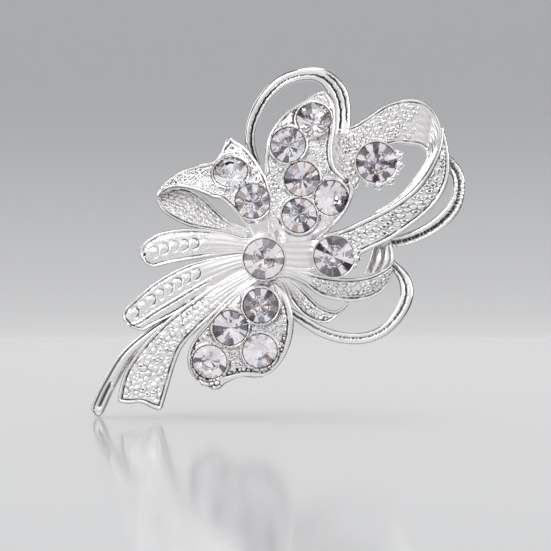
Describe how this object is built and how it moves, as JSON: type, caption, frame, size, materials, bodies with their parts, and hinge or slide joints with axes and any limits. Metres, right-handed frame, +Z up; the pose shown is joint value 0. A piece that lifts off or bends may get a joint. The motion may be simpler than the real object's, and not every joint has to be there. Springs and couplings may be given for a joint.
{
  "type": "bow and petal brooch with safety pin fitting",
  "caption": "Diagonal bow and petal brooch with beaded ribbons, wire loops and round crystals, on a back bar with a hinged pin and a rotating safety catch.",
  "frame": {"origin": "middle of the rear face of the back bar's pad, straight behind the centre stone", "axes": "front faces -Y, +Z is up as worn, +X is to the right seen from the front; +Y leaves the back face towards the cloth"},
  "size_m": [0.0471, 0.0125, 0.0439],
  "materials": {
    "back_bar": "bright rhodium-coloured plating",
    "hinge_fork": "bright rhodium-coloured plating",
    "hinge_rivet": "bright rhodium-coloured plating",
    "catch_housing": "bright rhodium-coloured plating",
    "hub": "bright silver plating, polished",
    "cup_centre": "bright silver plating, polished",
    "cup_right": "bright silver plating, polished",
    "cup_top": "bright silver plating, polished",
    "petal_upper": "bright silver plating, with a beaded texture and smooth raised rims",
    "petal_lower": "bright silver plating, with a beaded texture and smooth raised rims",
    "loop_left": "bright silver plating, with a beaded texture and smooth raised rims",
    "loop_left_under": "bright silver plating, with a beaded texture and smooth raised rims",
    "loop_right_upper": "bright silver plating, with a beaded texture and smooth raised rims",
    "loop_right_lower": "bright silver plating, with a beaded texture and smooth raised rims",
    "band_front": "bright silver plating, with a beaded texture and smooth raised rims",
    "band_back": "bright silver plating, with a beaded texture and smooth raised rims",
    "curl": "bright silver plating, with a beaded texture and smooth raised rims",
    "wire_top": "bright silver plating, polished",
    "wire_right": "bright silver plating, polished",
    "wire_low": "bright silver plating, polished",
    "tail_upper": "bright silver plating, with a beaded texture and smooth raised rims",
    "tail_middle": "bright silver plating, with a beaded texture and smooth raised rims",
    "tail_long": "bright silver plating, with a beaded texture and smooth raised rims",
    "stem": "bright silver plating, polished",
    "stone_centre": "faceted clear crystal with a mirror foil back",
    "stone_right": "faceted clear crystal with a mirror foil back",
    "stone_top": "faceted clear crystal with a mirror foil back",
    "stone_01": "faceted clear crystal with a mirror foil back",
    "stone_02": "faceted clear crystal with a mirror foil back",
    "stone_03": "faceted clear crystal with a mirror foil back",
    "stone_04": "faceted clear crystal with a mirror foil back",
    "stone_05": "faceted clear crystal with a mirror foil back",
    "stone_06": "faceted clear crystal with a mirror foil back",
    "stone_07": "faceted clear crystal with a mirror foil back",
    "stone_08": "faceted clear crystal with a mirror foil back",
    "stone_09": "faceted clear crystal with a mirror foil back",
    "stone_10": "faceted clear crystal with a mirror foil back",
    "stone_11": "faceted clear crystal with a mirror foil back",
    "pin": "bright rhodium-coloured plating",
    "catch_sleeve": "bright rhodium-coloured plating"
  },
  "bodies": {
    "ornament": {"back_bar": "back_bar", "hinge_fork": "hinge_fork", "hinge_rivet": "hinge_rivet", "catch_housing": "catch_housing", "hub": "hub", "cup_centre": "cup_centre", "cup_right": "cup_right", "cup_top": "cup_top", "petal_upper": "petal_upper", "petal_lower": "petal_lower", "loop_left": "loop_left", "loop_left_under": "loop_left_under", "loop_right_upper": "loop_right_upper", "loop_right_lower": "loop_right_lower", "band_front": "band_front", "band_back": "band_back", "curl": "curl", "wire_top": "wire_top", "wire_right": "wire_right", "wire_low": "wire_low", "tail_upper": "tail_upper", "tail_middle": "tail_middle", "tail_long": "tail_long", "stem": "stem", "stone_centre": "stone_centre", "stone_right": "stone_right", "stone_top": "stone_top", "stone_01": "stone_01", "stone_02": "stone_02", "stone_03": "stone_03", "stone_04": "stone_04", "stone_05": "stone_05", "stone_06": "stone_06", "stone_07": "stone_07", "stone_08": "stone_08", "stone_09": "stone_09", "stone_10": "stone_10", "stone_11": "stone_11"},
    "pin": {"pin": "pin"},
    "sleeve": {"catch_sleeve": "catch_sleeve"}
  },
  "joints": [
    {"name": "pin_swing", "type": "hinge", "parent": "ornament", "child": "pin", "pos_m": [0.00861, 0.0026, 0.00685], "axis": [0.6225, 0, -0.7826], "range_deg": [0, 105]},
    {"name": "sleeve_turn", "type": "hinge", "parent": "ornament", "child": "sleeve", "pos_m": [-0.00853, 0.0026, -0.00679], "axis": [-0.7826, 0, -0.6225], "range_deg": [0, 150]}
  ]
}
